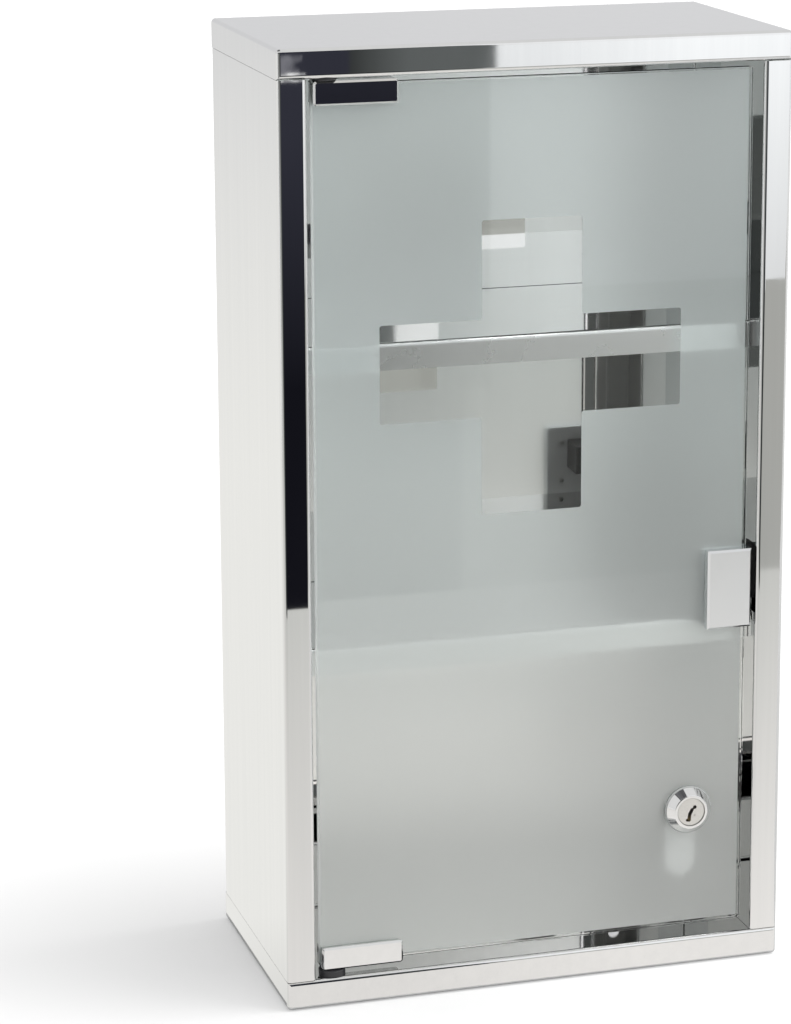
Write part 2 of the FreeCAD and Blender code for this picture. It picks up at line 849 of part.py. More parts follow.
def keyway():
    """The key's slot: a round dot, a thin neck, a leaning slot with a bend, and a toe at its foot."""
    dot = (lock_x + keyway_dot_right, lock_height + keyway_dot_up)
    top = (lock_x + keyway_top_right, lock_height + keyway_top_up)
    waist = (lock_x - keyway_waist_left, lock_height - keyway_waist_down)
    heel = (lock_x - keyway_heel_left, lock_height - keyway_heel_down)
    toe = (lock_x - keyway_toe_left, lock_height - keyway_heel_down)
    slot = rod_y(keyway_dot_radius, dot[0], dot[1], plug_face() - overrun, plug_face() + keyway_depth)
    slot = slot.fuse(slot_between(dot, top, keyway_neck_width))
    slot = slot.fuse(slot_between(top, waist, keyway_width))
    slot = slot.fuse(slot_between(waist, heel, keyway_width))
    return slot.fuse(slot_between(heel, toe, keyway_toe_width))


def wafer_fronts():
    """The front planes of the wafers along the plug."""
    return [plug_face() + wafer_first + wafer_pitch * step for step in range(wafer_count)]


def lock_plug():
    """Turned plug with the keyway, wafer slots and a square tenon for the cam."""
    head = rod_y(plug_head_radius, lock_x, lock_height, plug_face(), plug_face() + plug_head_height)
    face_edge = edges_where(head, lambda box: same(box.YMax, plug_face()))
    head = head.makeChamfer(plug_head_chamfer, face_edge)
    mark_x = lock_x + plug_mark_right
    mark_z = lock_height - plug_mark_down
    head = head.cut(rod_y(plug_mark_radius, mark_x, mark_z, plug_face() - overrun, plug_face() + plug_mark_depth))
    barrel = rod_y(plug_radius, lock_x, lock_height, plug_face() + plug_head_height, cam_front())
    plug = head.fuse(barrel).cut(keyway())
    half = wafer_width / 2 + wafer_clearance
    for front in wafer_fronts():
        slot = block(lock_x - half, lock_x + half, front - wafer_clearance,
                     front + wafer_thickness + wafer_clearance,
                     lock_height - plug_head_radius, lock_height + plug_head_radius)
        plug = plug.cut(turn_in_door(slot, keyway_lean))
    side = cam_tenon / 2
    tenon = block(lock_x - side, lock_x + side, cam_front() - sheet, cam_front() + cam_thickness - tenon_shortfall,
                  lock_height - side, lock_height + side)
    thread = rod_y(cam_screw_radius + cam_screw_clearance, lock_x, lock_height,
                   cam_front() + cam_thickness - cam_screw_length - cam_screw_clearance,
                   cam_front() + cam_thickness + overrun)
    return plug.fuse(tenon).cut(thread)


def lock_wafers():
    """Brass wafers that slide in the plug's slots, each with a window for the key."""
    wafers = []
    for front in wafer_fronts():
        plate = block(lock_x - wafer_width / 2, lock_x + wafer_width / 2, front, front + wafer_thickness,
                      lock_height - wafer_height / 2, lock_height + wafer_height / 2)
        window = block(lock_x - wafer_window_width / 2, lock_x + wafer_window_width / 2,
                       front - overrun, front + wafer_thickness + overrun,
                       lock_height - wafer_window_height / 2, lock_height + wafer_window_height / 2)
        wafers.append(turn_in_door(plate.cut(window), keyway_lean))
    return Part.makeCompound(wafers)


def lock_cam():
    """Flat steel arm that hangs down when the lock is open and swings behind the right return."""
    start = cam_front()
    end = start + cam_thickness
    half = cam_width / 2
    tip = cam_reach - half
    arm = block(lock_x - half, lock_x + half, start, end, lock_height - tip, lock_height)
    arm = arm.fuse(rod_y(half, lock_x, lock_height, start, end))
    arm = arm.fuse(rod_y(half, lock_x, lock_height - tip, start, end)).removeSplitter()
    side = cam_tenon / 2 + cam_tenon_clearance
    return arm.cut(block(lock_x - side, lock_x + side, start - overrun, end + overrun,
                         lock_height - side, lock_height + side))


def cam_washer():
    """Washer between the cam and its screw."""
    start = cam_front() + cam_thickness
    ring = rod_y(cam_washer_radius, lock_x, lock_height, start, start + cam_washer_thickness)
    return ring.cut(rod_y(cam_screw_radius + cam_screw_clearance, lock_x, lock_height,
                          start - overrun, start + cam_washer_thickness + overrun))


def cam_screw():
    """Slotted screw that holds the cam on the plug."""
    under_head = cam_front() + cam_thickness + cam_washer_thickness
    shank = rod_y(cam_screw_radius, lock_x, lock_height,
                  cam_front() + cam_thickness - cam_screw_length, under_head)
    head = rod_y(cam_screw_head_radius, lock_x, lock_height, under_head, under_head + cam_screw_head_height)
    top = under_head + cam_screw_head_height
    slot = block(lock_x - cam_screw_slot_width / 2, lock_x + cam_screw_slot_width / 2,
                 top - cam_screw_slot_depth, top + overrun,
                 lock_height - cam_screw_head_radius, lock_height + cam_screw_head_radius)
    return shank.fuse(head.cut(slot))


pieces = {
    "top_cap": top_cap,
    "bottom_cap": bottom_cap,
    "left_side_panel": left_side_panel,
    "right_side_panel": right_side_panel,
    "back_panel": back_panel,
    "back_panel_rivets": back_panel_rivets,
    "upper_shelf": upper_shelf,
    "lower_shelf": lower_shelf,
    "top_pivot_bush": top_pivot_bush,
    "bottom_pivot_bush": bottom_pivot_bush,
    "catch_housing": catch_housing,
    "catch_pole_plates": catch_pole_plates,
    "catch_magnet": catch_magnet,
    "catch_screws": catch_screws,
    "door_glass": door_glass,
    "frost_film": frost_film,
    "top_hinge_clamp": top_hinge_clamp,
    "bottom_hinge_clamp": bottom_hinge_clamp,
    "top_hinge_pin": top_hinge_pin,
    "bottom_hinge_pin": bottom_hinge_pin,
    "hinge_pads": hinge_pads,
    "hinge_grub_screws": hinge_grub_screws,
    "handle_clip": handle_clip,
    "handle_pads": handle_pads,
    "handle_set_screws": handle_set_screws,
    "lock_body": lock_body,
    "lock_gaskets": lock_gaskets,
    "lock_nut": lock_nut,
    "lock_plug": lock_plug,
    "lock_wafers": lock_wafers,
    "lock_cam": lock_cam,
    "cam_washer": cam_washer,
    "cam_screw": cam_screw,
}

for name, make in pieces.items():
    shape = make()
    solids = shape.Solids
    faults = [solid for solid in solids if not solid.isValid() or solid.Volume <= 0]
    print(f"{name}: {len(solids)} solid(s), {shape.Volume:.1f} mm3" + (", NOT VALID" if faults else ""))
    shape.exportStep(os.path.join("parts", name + ".step"))
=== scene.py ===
import math

import bpy
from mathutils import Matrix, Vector

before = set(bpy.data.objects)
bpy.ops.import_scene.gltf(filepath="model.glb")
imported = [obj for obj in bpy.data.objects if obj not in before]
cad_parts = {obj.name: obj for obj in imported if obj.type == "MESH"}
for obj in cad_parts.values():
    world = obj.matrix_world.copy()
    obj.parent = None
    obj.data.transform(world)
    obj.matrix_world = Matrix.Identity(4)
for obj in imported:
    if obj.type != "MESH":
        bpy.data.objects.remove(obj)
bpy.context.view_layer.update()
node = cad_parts

# Bottom and top trays
# Stainless sheet 0.8 mm thick, folded with four skirts, polished to a mirror and spot-welded to the side
# panels. The polishing belt leaves long faint marks, and a slight wave bends what the sheet reflects.


def new_material(name):
    """An empty node material: (material, its node tree, its output node)."""
    material = bpy.data.materials.new(name)
    material.use_nodes = True
    tree = material.node_tree
    tree.nodes.clear()
    return material, tree, tree.nodes.new("ShaderNodeOutputMaterial")


def feed(tree, socket, value):
    """Link an input to the value where that is an output, or else set the input to it."""
    if isinstance(value, bpy.types.NodeSocket):
        tree.links.new(value, socket)
    else:
        socket.default_value = value


def add(tree, kind, *ordered, **named):
    """A node of a kind. Ordered values feed its inputs in their order. A named value feeds the input of
    that label, with _ for spaces, or sets the property of that name where no input has it."""
    made = tree.nodes.new("ShaderNode" + kind)
    for key, value in named.items():
        label = key.replace("_", " ")
        if label in made.inputs:
            feed(tree, made.inputs[label], value)
        else:
            setattr(made, key, value)
    for socket, value in zip(made.inputs, ordered):
        feed(tree, socket, value)
    return made


def stretched_noise(tree, grains, detail, rough):
    """Noise on object coordinates, each axis multiplied by its own number of grains per metre."""
    place = add(tree, "TexCoord").outputs["Object"]
    stretched = add(tree, "Mapping", Vector=place, Scale=grains).outputs["Vector"]
    noise = add(tree, "TexNoise", Vector=stretched, Scale=1.0, Detail=detail, Roughness=rough)
    return noise.outputs["Fac"]


def mapped(tree, value, low, high, to=(0.0, 1.0)):
    """The value moved in a straight line from the range low to high to another range, and clamped."""
    ranged = add(tree, "MapRange", clamp=True, Value=value, From_Min=low, From_Max=high,
                 To_Min=to[0], To_Max=to[1])
    return ranged.outputs["Result"]


def blended(tree, share, first, second):
    """A colour between two colours by a share."""
    mix = add(tree, "Mix", data_type="RGBA", Factor=share)
    colour_ends = [socket for socket in mix.inputs if socket.type == "RGBA"]
    for socket, colour in zip(colour_ends, (first, second)):
        socket.default_value = (*colour, 1.0)
    return [socket for socket in mix.outputs if socket.type == "RGBA"][0]


def bumped(tree, height, depth, normal=None):
    """A normal from a height map, as deep as given in metres, on another normal where one is given."""
    bump = add(tree, "Bump", Strength=1.0, Distance=depth, Height=height)
    if normal is not None:
        feed(tree, bump.inputs["Normal"], normal)
    return bump.outputs["Normal"]


def either(tree, *shares):
    """The largest of some shares."""
    largest = shares[0]
    for share in shares[1:]:
        largest = add(tree, "Math", largest, share, operation="MAXIMUM").outputs["Value"]
    return largest


def mixed(tree, share, first, second):
    """Two shaders mixed by a share: none of it is all first, all of it is all second."""
    return add(tree, "MixShader", share, first.outputs[0], second.outputs[0])


def faces(tree, facing, over=0.5):
    """One where the surface's normal, multiplied with the way of facing, is over a half, else zero."""
    normal = add(tree, "NewGeometry").outputs["Normal"]
    towards = add(tree, "VectorMath", normal, facing, operation="DOT_PRODUCT").outputs["Value"]
    return add(tree, "Math", towards, over, operation="GREATER_THAN").outputs["Value"]


def tilted(tree, tilt, facing):
    """The surface's normal plus a tilt where it faces the way given, brought back to length one."""
    normal = add(tree, "NewGeometry").outputs["Normal"]
    lean = add(tree, "VectorMath", tilt, operation="SCALE", Scale=faces(tree, facing)).outputs["Vector"]
    leaning = add(tree, "VectorMath", normal, lean, operation="ADD").outputs["Vector"]
    return add(tree, "VectorMath", leaning, operation="NORMALIZE").outputs["Vector"]


to_front = (0.0, -1.0, 0.0)
to_wall = (0.0, 1.0, 0.0)
smudge_grains = (22.0, 22.0, 16.0)


def polished_metal(name, dark, light, marks, wave, wave_depth, gloss, tilt=None, satin=0.0,
                   scattered=None, painted_face_shade=(), rear_dull=0.0):
    """Colour: dark to light by noise stretched along the belt marks, then times a share on the faces
    that look the ways given with their shares, a painted shade by which way a face looks. Roughness:
    the gloss range by smudges, plus satin on faces to the front. Normal: a slow wave of so many grains
    per metre and so many metres deep, on a tilt of the front faces where one is given. Rays that the
    frosting has scattered meet a plain diffuse surface of the scattered tone, or of the light one, and
    faces to the wall are that surface by the share rear_dull.
    """
    material, tree, output = new_material(name)
    belt = stretched_noise(tree, marks, detail=5.0, rough=0.7)
    colour = blended(tree, mapped(tree, belt, low=0.35, high=0.65), dark, light)
    # Painted shade: faces that look a given way get their colour darkened by a share.
    for facing, share in painted_face_shade:
        dim = mapped(tree, faces(tree, facing), low=0.0, high=1.0, to=(1.0, share))
        colour = add(tree, "VectorMath", colour, operation="SCALE", Scale=dim).outputs["Vector"]
    smudge = mapped(tree, stretched_noise(tree, smudge_grains, detail=6.0, rough=0.6), low=0.42, high=0.68,
                    to=gloss)
    frontal = faces(tree, to_front)
    rough = add(tree, "Math", frontal, satin, smudge, operation="MULTIPLY_ADD").outputs["Value"]
    slow = stretched_noise(tree, wave, detail=1.0, rough=0.3)
    normal = bumped(tree, slow, wave_depth, tilted(tree, tilt, to_front) if tilt else None)
    mirror = add(tree, "BsdfPrincipled", Metallic=1.0, Base_Color=colour, Roughness=rough, Normal=normal)
    plain = add(tree, "BsdfDiffuse", Color=(*(scattered or light), 1.0))
    dull = add(tree, "LightPath").outputs["Is Diffuse Ray"]
    if rear_dull:
        rearward = mapped(tree, faces(tree, to_wall), low=0.0, high=1.0, to=(0.0, rear_dull))
        dull = either(tree, dull, rearward)
    tree.links.new(mixed(tree, dull, mirror, plain).outputs["Shader"], output.inputs["Surface"])
    return material


def dress(names, material):
    """Give CAD nodes a material in their own slots."""
    for name in names:
        slots = node[name].material_slots
        if not slots:
            node[name].data.materials.append(material)
        for slot in slots:
            slot.material = material


marks_up = (160.0, 160.0, 4.0)
marks_to_wall = (160.0, 4.0, 160.0)
sheet_wave = (9.0, 9.0, 5.0)
sheet_wave_depth = 3.0e-5
sheet_finish = dict(dark=(0.775, 0.778, 0.775), light=(0.80, 0.802, 0.798), wave=sheet_wave,
                    wave_depth=sheet_wave_depth, gloss=(0.02, 0.055))
# Painted shade: the bottom tray meets scattered rays as a plain grey darker than the top tray's, which
# darkens the bottom strip that shows through the frosting.
base_steel = polished_metal("polished_base", marks=marks_to_wall, scattered=(0.62, 0.62, 0.61),
                            **sheet_finish)
tray_steel = polished_metal("polished_tray", marks=marks_up, **sheet_finish)
dress(["bottom_cap"], base_steel)
dress(["top_cap"], tray_steel)

# Side panels
# Each is one polished sheet with a front return, a stile, a wall and a rear flange, and its ends lap
# inside the trays' skirts. The belt marks run up the sheet, and its faces to the wall are duller.

side_steel = polished_metal("polished_sheet", marks=marks_up, rear_dull=0.75, **sheet_finish)
dress(["left_side_panel", "right_side_panel"], side_steel)

# Back sheet and its rivets
# A flat polished sheet against the rear flanges, with four wall holes. Its front face is painted
# lighter than the other steel, a painted light that brightens the reflections inside the cabinet, and
# its faces to the wall are dimmed back near the plain steel tone. Ten blind rivets of zinc-coated
# steel, greyer and softer than the sheet, hold it to the side panels.

# Painted light: the back sheet's tone is lighter than the other steel, and this share takes its faces to the
# wall back down.
rear_share_under_painted_front = 0.845
back_steel = polished_metal("polished_back", dark=(0.93, 0.916, 0.906), light=(0.95, 0.936, 0.926),
                            marks=marks_up, wave=sheet_wave, wave_depth=sheet_wave_depth,
                            gloss=(0.02, 0.05), tilt=(0.0, 0.0, -0.027), painted_face_shade=[(to_wall, rear_share_under_painted_front)])
dress(["back_panel"], back_steel)


def varied(tree, noise, colour, spread):
    """A colour made darker and lighter by noise, either way by a share of itself called spread."""
    darker = [channel * (1 - spread) for channel in colour]
    lighter = [min(channel * (1 + spread), 1.0) for channel in colour]
    return blended(tree, mapped(tree, noise, low=0.3, high=0.7), darker, lighter)


def plated_steel(name, colour, spread, roughness, grains):
    """Metal whose colour and roughness vary by fine noise, with a fine grain in its height. Rays that the
    frosting has scattered meet a plain pale surface."""
    material, tree, output = new_material(name)
    fine = stretched_noise(tree, (grains, grains, grains), detail=4.0, rough=0.6)
    coat = add(tree, "BsdfPrincipled", Metallic=1.0, Base_Color=varied(tree, fine, colour, spread),
               Roughness=mapped(tree, fine, low=0.3, high=0.7, to=roughness),
               Normal=bumped(tree, fine, depth=1.5e-5))
    plain = add(tree, "BsdfDiffuse", Color=(0.85, 0.85, 0.84, 1.0))
    scattered = add(tree, "LightPath").outputs["Is Diffuse Ray"]
    tree.links.new(mixed(tree, scattered, coat, plain).outputs["Shader"], output.inputs["Surface"])
    return material


zinc = plated_steel("zinc_plated_steel", (0.55, 0.56, 0.57), spread=0.08, roughness=(0.26, 0.38),
                    grains=900.0)
dress(["back_panel_rivets"], zinc)

# Shelves
# Two trays of polished sheet with lips turned down at the front and back, cut out round the stiles. The
# belt marks run across them, and the upper one's front lip is brushed and not mirror-bright. Their top
# faces carry a painted shade and the upper one's front lip a deeper painted shade, and scattered rays
# meet them as a plain grey darker than their steel, a painted shade on what shows through the frosting.

to_top = (0.0, 0.0, 1.0)
# Painted shade: the shelves' top faces and the upper shelf's front lip are darkened by these shares.
painted_top_shade = 0.93
painted_lip_shade = 0.75
shelf_finish = dict(dark=(0.87, 0.873, 0.87), light=(0.895, 0.897, 0.892), marks=(5.0, 220.0, 220.0),
                    wave=(10.0, 12.0, 8.0), wave_depth=sheet_wave_depth, gloss=(0.03, 0.07),
                    tilt=(0.07, 0.0, 0.0), scattered=(0.45, 0.45, 0.45))
upper_steel = polished_metal("brushed_shelf", satin=0.24, painted_face_shade=[(to_top, painted_top_shade), (to_front, painted_lip_shade)],
                             **shelf_finish)
lower_steel = polished_metal("polished_shelf", painted_face_shade=[(to_top, painted_top_shade)], **shelf_finish)
dress(["upper_shelf"], upper_steel)
dress(["lower_shelf"], lower_steel)

# Pivot bushes
# Black nylon, moulded with a slightly matt skin and pressed into the trays; the door's pins turn in them.


def moulded(name, colour, roughness, grains, depth=1.5e-5):
    """Plastic, rubber or ferrite: a plain colour with a fine skin that varies roughness and height."""
    material, tree, output = new_material(name)
    skin = stretched_noise(tree, (grains, grains, grains), detail=3.0, rough=0.6)
    shader = add(tree, "BsdfPrincipled", Metallic=0.0, Base_Color=varied(tree, skin, colour, spread=0.12),
                 Roughness=mapped(tree, skin, low=0.3, high=0.7, to=roughness),
                 Normal=bumped(tree, skin, depth))
    tree.links.new(shader.outputs["BSDF"], output.inputs["Surface"])
    return material


nylon = moulded("black_nylon", (0.018, 0.018, 0.02), roughness=(0.38, 0.5), grains=1400.0)
dress(["top_pivot_bush", "bottom_pivot_bush"], nylon)

# Magnetic catch
# A black nylon housing on the right panel, with a dark ferrite magnet between two zinc-coated pole
# plates. Two screws hold it.

ferrite = moulded("dark_ferrite", (0.03, 0.028, 0.027), roughness=(0.6, 0.75), grains=1800.0, depth=2.0e-5)
dress(["catch_housing"], nylon)
dress(["catch_magnet"], ferrite)
dress(["catch_pole_plates", "catch_screws"], zinc)

# Glass pane
# Float glass 4 mm thick with eased edges, greenish in its depth, held by the hinge clamps. Faint wipe
# marks vary its gloss, and its edge on the hinge side is ground matt.

ground_depth = 0.0009
fully_ground_depth = 0.0002
ground_rough = 0.6


def along(tree, axis, start, end):
    """The share of the way from start to end along an object axis, in metres."""
    place = add(tree, "TexCoord").outputs["Object"]
    return mapped(tree, add(tree, "SeparateXYZ", place).outputs[axis], start, end)


def float_glass():
    """Glass that bends what shows through it, plain see-through for shadows and for scattered rays."""
    material, tree, output = new_material("float_glass")
    wipe = stretched_noise(tree, (9.0, 9.0, 14.0), detail=4.0, rough=0.6)
    share = mapped(tree, wipe, low=0.3, high=0.7)
    colour = blended(tree, share, (0.972, 0.988, 0.984), (0.98, 0.994, 0.99))
    hinge_edge = min(corner[0] for corner in node["door_glass"].bound_box)
    ground = along(tree, "X", hinge_edge + ground_depth, hinge_edge + fully_ground_depth)
    wiped_rough = mapped(tree, wipe, low=0.45, high=0.7, to=(0.0, 0.012))
    rough = add(tree, "Math", ground, ground_rough, wiped_rough, operation="MULTIPLY_ADD").outputs["Value"]
    glass = add(tree, "BsdfPrincipled", Metallic=0.0, IOR=1.43, Transmission_Weight=1.0, Base_Color=colour,
                Roughness=rough)
    clear = add(tree, "BsdfTransparent", Color=(0.945, 0.96, 0.956, 1.0))
    path = add(tree, "LightPath")
    plain = either(tree, path.outputs["Is Shadow Ray"], path.outputs["Is Diffuse Ray"])
    tree.links.new(mixed(tree, plain, glass, clear).outputs["Shader"], output.inputs["Surface"])
    return material


dress(["door_glass"], float_glass())

# Frosted film
# A thin translucent film on the rear of the glass, with a plain cross and a narrow border left clear.
# Light scatters in it, so what stands close behind shows soft. It is a little bluer towards the top.

warm_up_to = 0.12
cool_from = 0.27
onward_share = 0.58


def frosted_film():
    """One pass through the film is a rough see-through lobe mixed with a share of haze.

    The haze scatters light back and onward. Only a face that is met from outside scatters; the far
    face and shadow rays pass straight on, so a ray meets the film once.
    """
    material, tree, output = new_material("frosted_film")
    grain = stretched_noise(tree, (2500.0, 2500.0, 2500.0), detail=2.0, rough=0.5)
    height = along(tree, "Z", warm_up_to, cool_from)
    rough = mapped(tree, grain, low=0.3, high=0.7, to=(0.62, 0.72))
    colour = blended(tree, height, (0.962, 0.957, 0.947), (0.945, 0.98, 0.978))
    lobe = add(tree, "BsdfPrincipled", Metallic=0.0, IOR=1.4, Transmission_Weight=1.0, Roughness=rough,
               Base_Color=colour)
    tint = blended(tree, height, (0.905, 0.896, 0.882), (0.88, 0.92, 0.918))
    backward = add(tree, "BsdfDiffuse", Color=tint)
    onward = add(tree, "BsdfTranslucent", Color=tint)
    haze = mixed(tree, onward_share, backward, onward)
    haze_share = mapped(tree, grain, low=0.3, high=0.7, to=(0.41, 0.46))
    film = mixed(tree, haze_share, lobe, haze)
    passing = add(tree, "BsdfTransparent", Color=(1.0, 1.0, 1.0, 1.0))
    one_face = mixed(tree, add(tree, "NewGeometry").outputs["Backfacing"], film, passing)
    clear = add(tree, "BsdfTransparent", Color=(0.86, 0.88, 0.875, 1.0))
    surface = mixed(tree, add(tree, "LightPath").outputs["Is Shadow Ray"], one_face, clear)
    tree.links.new(surface.outputs["Shader"], output.inputs["Surface"])
    return material


dress(["frost_film"], frosted_film())

# Hinge clamps with their pins, liners and grub screws
# Zinc castings with bright chrome, which grip the glass between soft grey liners with two grub screws
# each. A steel pin through each clamp carries the door.

chrome_dark = (0.82, 0.825, 0.82)
chrome_marks = (90.0, 90.0, 90.0)
clamp_chrome = polished_metal("clamp_chrome", dark=chrome_dark, light=(0.85, 0.853, 0.85),
                              marks=chrome_marks, wave=(150.0, 150.0, 150.0), wave_depth=1.0e-5,
                              gloss=(0.03, 0.07), tilt=(-0.05, 0.0, -0.09))
rubber = moulded("grey_rubber", (0.30, 0.31, 0.305), roughness=(0.55, 0.7), grains=1200.0)
dress(["top_hinge_clamp", "bottom_hinge_clamp"], clamp_chrome)
dress(["top_hinge_pin", "bottom_hinge_pin", "hinge_grub_screws"], zinc)
dress(["hinge_pads"], rubber)

# Handle clip with its liner and set screws
# A zinc casting round the free edge of the glass, brushed and chromed a little softer than the clamps.
# It holds by a pale rubber liner and two set screws in its rear plate.

satin_chrome = polished_metal("satin_chrome", dark=(0.825, 0.835, 0.85), light=(0.835, 0.845, 0.86),
                              marks=(60.0, 60.0, 60.0), wave=(12.0, 12.0, 12.0), wave_depth=1.0e-6,
                              gloss=(0.04, 0.06), tilt=(0.0, 0.0, -0.04), satin=0.16, rear_dull=0.5)
pale_rubber = moulded("pale_rubber", (0.66, 0.68, 0.67), roughness=(0.5, 0.65), grains=1200.0)
dress(["handle_clip"], satin_chrome)
dress(["handle_pads"], pale_rubber)
dress(["handle_set_screws"], zinc)

# Lock body with its washers and nut
# Turned and bright-chromed, it goes through a hole in the glass and is held by a zinc-coated nut, with a
# grey rubber washer on each side of the pane.

lock_chrome = polished_metal("bright_chrome", dark=chrome_dark, light=(0.84, 0.843, 0.84),
                             marks=chrome_marks, wave=(40.0, 40.0, 40.0), wave_depth=4.0e-6,
                             gloss=(0.03, 0.06))
dress(["lock_body"], lock_chrome)
dress(["lock_gaskets"], rubber)
dress(["lock_nut"], zinc)

# Lock plug, wafers and cam
# The plug is turned and satin nickel-plated, paler than the chrome round it, with brass wafers inside.
# The zinc-coated cam sits on its square tenon under a washer and a screw.

nickel = plated_steel("satin_nickel", (0.78, 0.77, 0.74), spread=0.05, roughness=(0.34, 0.46), grains=1600.0)
brass = plated_steel("plain_brass", (0.62, 0.46, 0.22), spread=0.08, roughness=(0.25, 0.35), grains=1200.0)
dress(["lock_plug"], nickel)
dress(["lock_wafers"], brass)
dress(["lock_cam", "cam_washer", "cam_screw"], zinc)

# Camera
# A long lens at the photograph's viewing angle, from the front left and a little above. Its shift brings
# the cabinet to its place in the photograph's frame.

view_azimuth = math.radians(-17.34)
view_elevation = math.radians(12.64)
camera_data = bpy.data.cameras.new("camera")
camera_data.lens = 123.6
camera_data.sensor_width = 36.0
camera_data.shift_x = -0.0825
camera_data.shift_y = -0.117
camera_data.clip_start = 0.05
camera_data.clip_end = 60.0
camera = bpy.data.objects.new("camera", camera_data)
bpy.context.scene.collection.objects.link(camera)
bpy.context.scene.camera = camera
towards_camera = Vector((math.sin(view_azimuth) * math.cos(view_elevation),
                         -math.cos(view_azimuth) * math.cos(view_elevation), math.sin(view_elevation)))
camera.location = (-0.506, -1.592, 0.655)
camera.rotation_mode = "QUATERNION"
camera.rotation_quaternion = (-towards_camera).to_track_quat("-Z", "Y")

# Floor
# A plain pale floor that keeps the cabinet's shadow and glows up to white beyond it. The glow is weakest
# round the shadow's centre, a painted shadow on top of the cast one. The polished steel and the glass
# see a weaker glow that starts farther off, a painted shade in the floor's reflection near the cabinet.

floor_reach = 9.0
floor_top = -0.0005
shadow_centre = (-0.14, 0.02, 0.0)


def flat_mesh(name, corners):
    """One flat face between four corners, as an object at the origin."""
    mesh = bpy.data.meshes.new(name)
    mesh.from_pydata(corners, [], [(0, 1, 2, 3)])
    mesh.update()
    made = bpy.data.objects.new(name, mesh)
    bpy.context.scene.collection.objects.link(made)
    return made


def level(left, right, near, far, z, near_right=None):
    """The corners of a level rectangle, with another right end on its near side where one is given."""
    return [(left, near, z), (near_right or right, near, z), (right, far, z), (left, far, z)]


def white_floor():
    """A plain diffuse surface plus a glow whose strength grows with the distance from the shadow's
    centre: over one range for camera rays, and over another for mirror and glass rays. The weak glow
    near the centre is painted shadow."""
    material, tree, output = new_material("white_floor")
    place = add(tree, "TexCoord").outputs["Object"]
    away = add(tree, "VectorMath", place, shadow_centre, operation="DISTANCE").outputs["Value"]
    path = add(tree, "LightPath")
    seen_glow = mapped(tree, away, low=0.02, high=0.20, to=(0.25, 0.43))
    seen = add(tree, "Math", path.outputs["Is Camera Ray"], seen_glow, operation="MULTIPLY").outputs["Value"]
    mirrored_glow = mapped(tree, away, low=0.15, high=1.8, to=(0.0, 0.14))
    mirrored = either(tree, path.outputs["Is Glossy Ray"], path.outputs["Is Transmission Ray"])
    strength = add(tree, "Math", mirrored, mirrored_glow, seen, operation="MULTIPLY_ADD").outputs["Value"]
    diffuse = add(tree, "BsdfDiffuse", Color=(0.42, 0.42, 0.42, 1.0))
    glow = add(tree, "Emission", Color=(1.0, 1.0, 1.0, 1.0), Strength=strength)
    total = add(tree, "AddShader", diffuse.outputs["BSDF"], glow.outputs["Emission"])
    tree.links.new(total.outputs["Shader"], output.inputs["Surface"])
    return material


floor = flat_mesh("floor", level(-floor_reach, floor_reach, -floor_reach, floor_reach, floor_top))
floor.data.materials.append(white_floor())

# Painted reflections for the polished steel
# Flat glowing sheets that paint what the steel and the glass reflect: in front, dark on the left and warm
# grey below white on the right, with level ones in the floor's tone close by, the left one darker next to
# the cabinet as a painted shadow, a dark one overhead and a grey one behind. Only reflections and what
# shows through the glass meet them.

front_plane = -0.731
patch_plane = -0.730
card_foot = -0.0004
card_level = -0.0002
dark_left = -0.1
dark_right = 0.090
dark_top = 0.80
far_left = -0.35
dim_from = 0.14
patches_meet = 0.3595
screen_left = 0.19
wall_top = 0.205
screen_top = 0.43
screen_right = 1.60
case_left = min(corner[0] for corner in node["bottom_cap"].bound_box)
case_front = min(corner[1] for corner in node["bottom_cap"].bound_box)
clear_of_case = 0.002
level_seam = case_front - clear_of_case


def upright(left, right, foot, top, y=front_plane):
    """The corners of an upright rectangle that faces along Y."""
    return [(left, y, foot), (right, y, foot), (right, y, top), (left, y, top)]


def card(name, corners, dark, light, grains=None, span=None, rise=None):
    """A glowing rectangle that paints a reflection, between two tones: by slow noise, or evenly along a span
    (axis, start, end).
    A rise (axis, start, end, lowest) multiplies them by lowest at its start, up to one at its end."""
    made = flat_mesh(name, corners)
    material, tree, output = new_material(name)
    if span:
        share = along(tree, *span)
    else:
        share = mapped(tree, stretched_noise(tree, grains, detail=2.0, rough=0.5), low=0.40, high=0.65)
    glow = add(tree, "Emission", Strength=1.0, Color=blended(tree, share, dark, light))
    if rise:
        axis, start, end, lowest = rise
        strength = mapped(tree, along(tree, axis, start, end), low=0.0, high=1.0, to=(lowest, 1.0))
        feed(tree, glow.inputs["Strength"], strength)
    tree.links.new(glow.outputs["Emission"], output.inputs["Surface"])
    made.data.materials.append(material)
    made.visible_camera = False
    made.visible_diffuse = False
    made.visible_shadow = False


card("dark_room_reflection", upright(dark_left, dark_right, card_foot, dark_top),
     dark=(0.008, 0.008, 0.012), light=(0.036, 0.037, 0.052), span=("Z", 0.15, 0.32))
card("far_room_reflection", upright(far_left, dark_left, card_foot, dark_top),
     dark=(0.05, 0.055, 0.055), light=(0.10, 0.108, 0.105), grains=(30.0, 3.0, 2.0))
card("side_room_reflection", upright(left=-1.2, right=far_left, foot=card_foot, top=dark_top),
     dark=(0.62, 0.62, 0.60), light=(0.09, 0.095, 0.10), span=("Z", 0.0, 0.55))
card("dim_room_reflection", upright(dark_right, screen_left, dim_from, dark_top),
     dark=(0.012, 0.012, 0.016), light=(0.13, 0.14, 0.14), span=("Z", 0.20, 0.34),
     rise=("X", dark_right, 0.13, 0.33))
card("dim_foot_reflection", upright(left=dark_right, right=0.17, foot=card_foot, top=dim_from),
     dark=(0.010, 0.010, 0.014), light=(0.013, 0.013, 0.018), grains=(3.0, 3.0, 7.0))
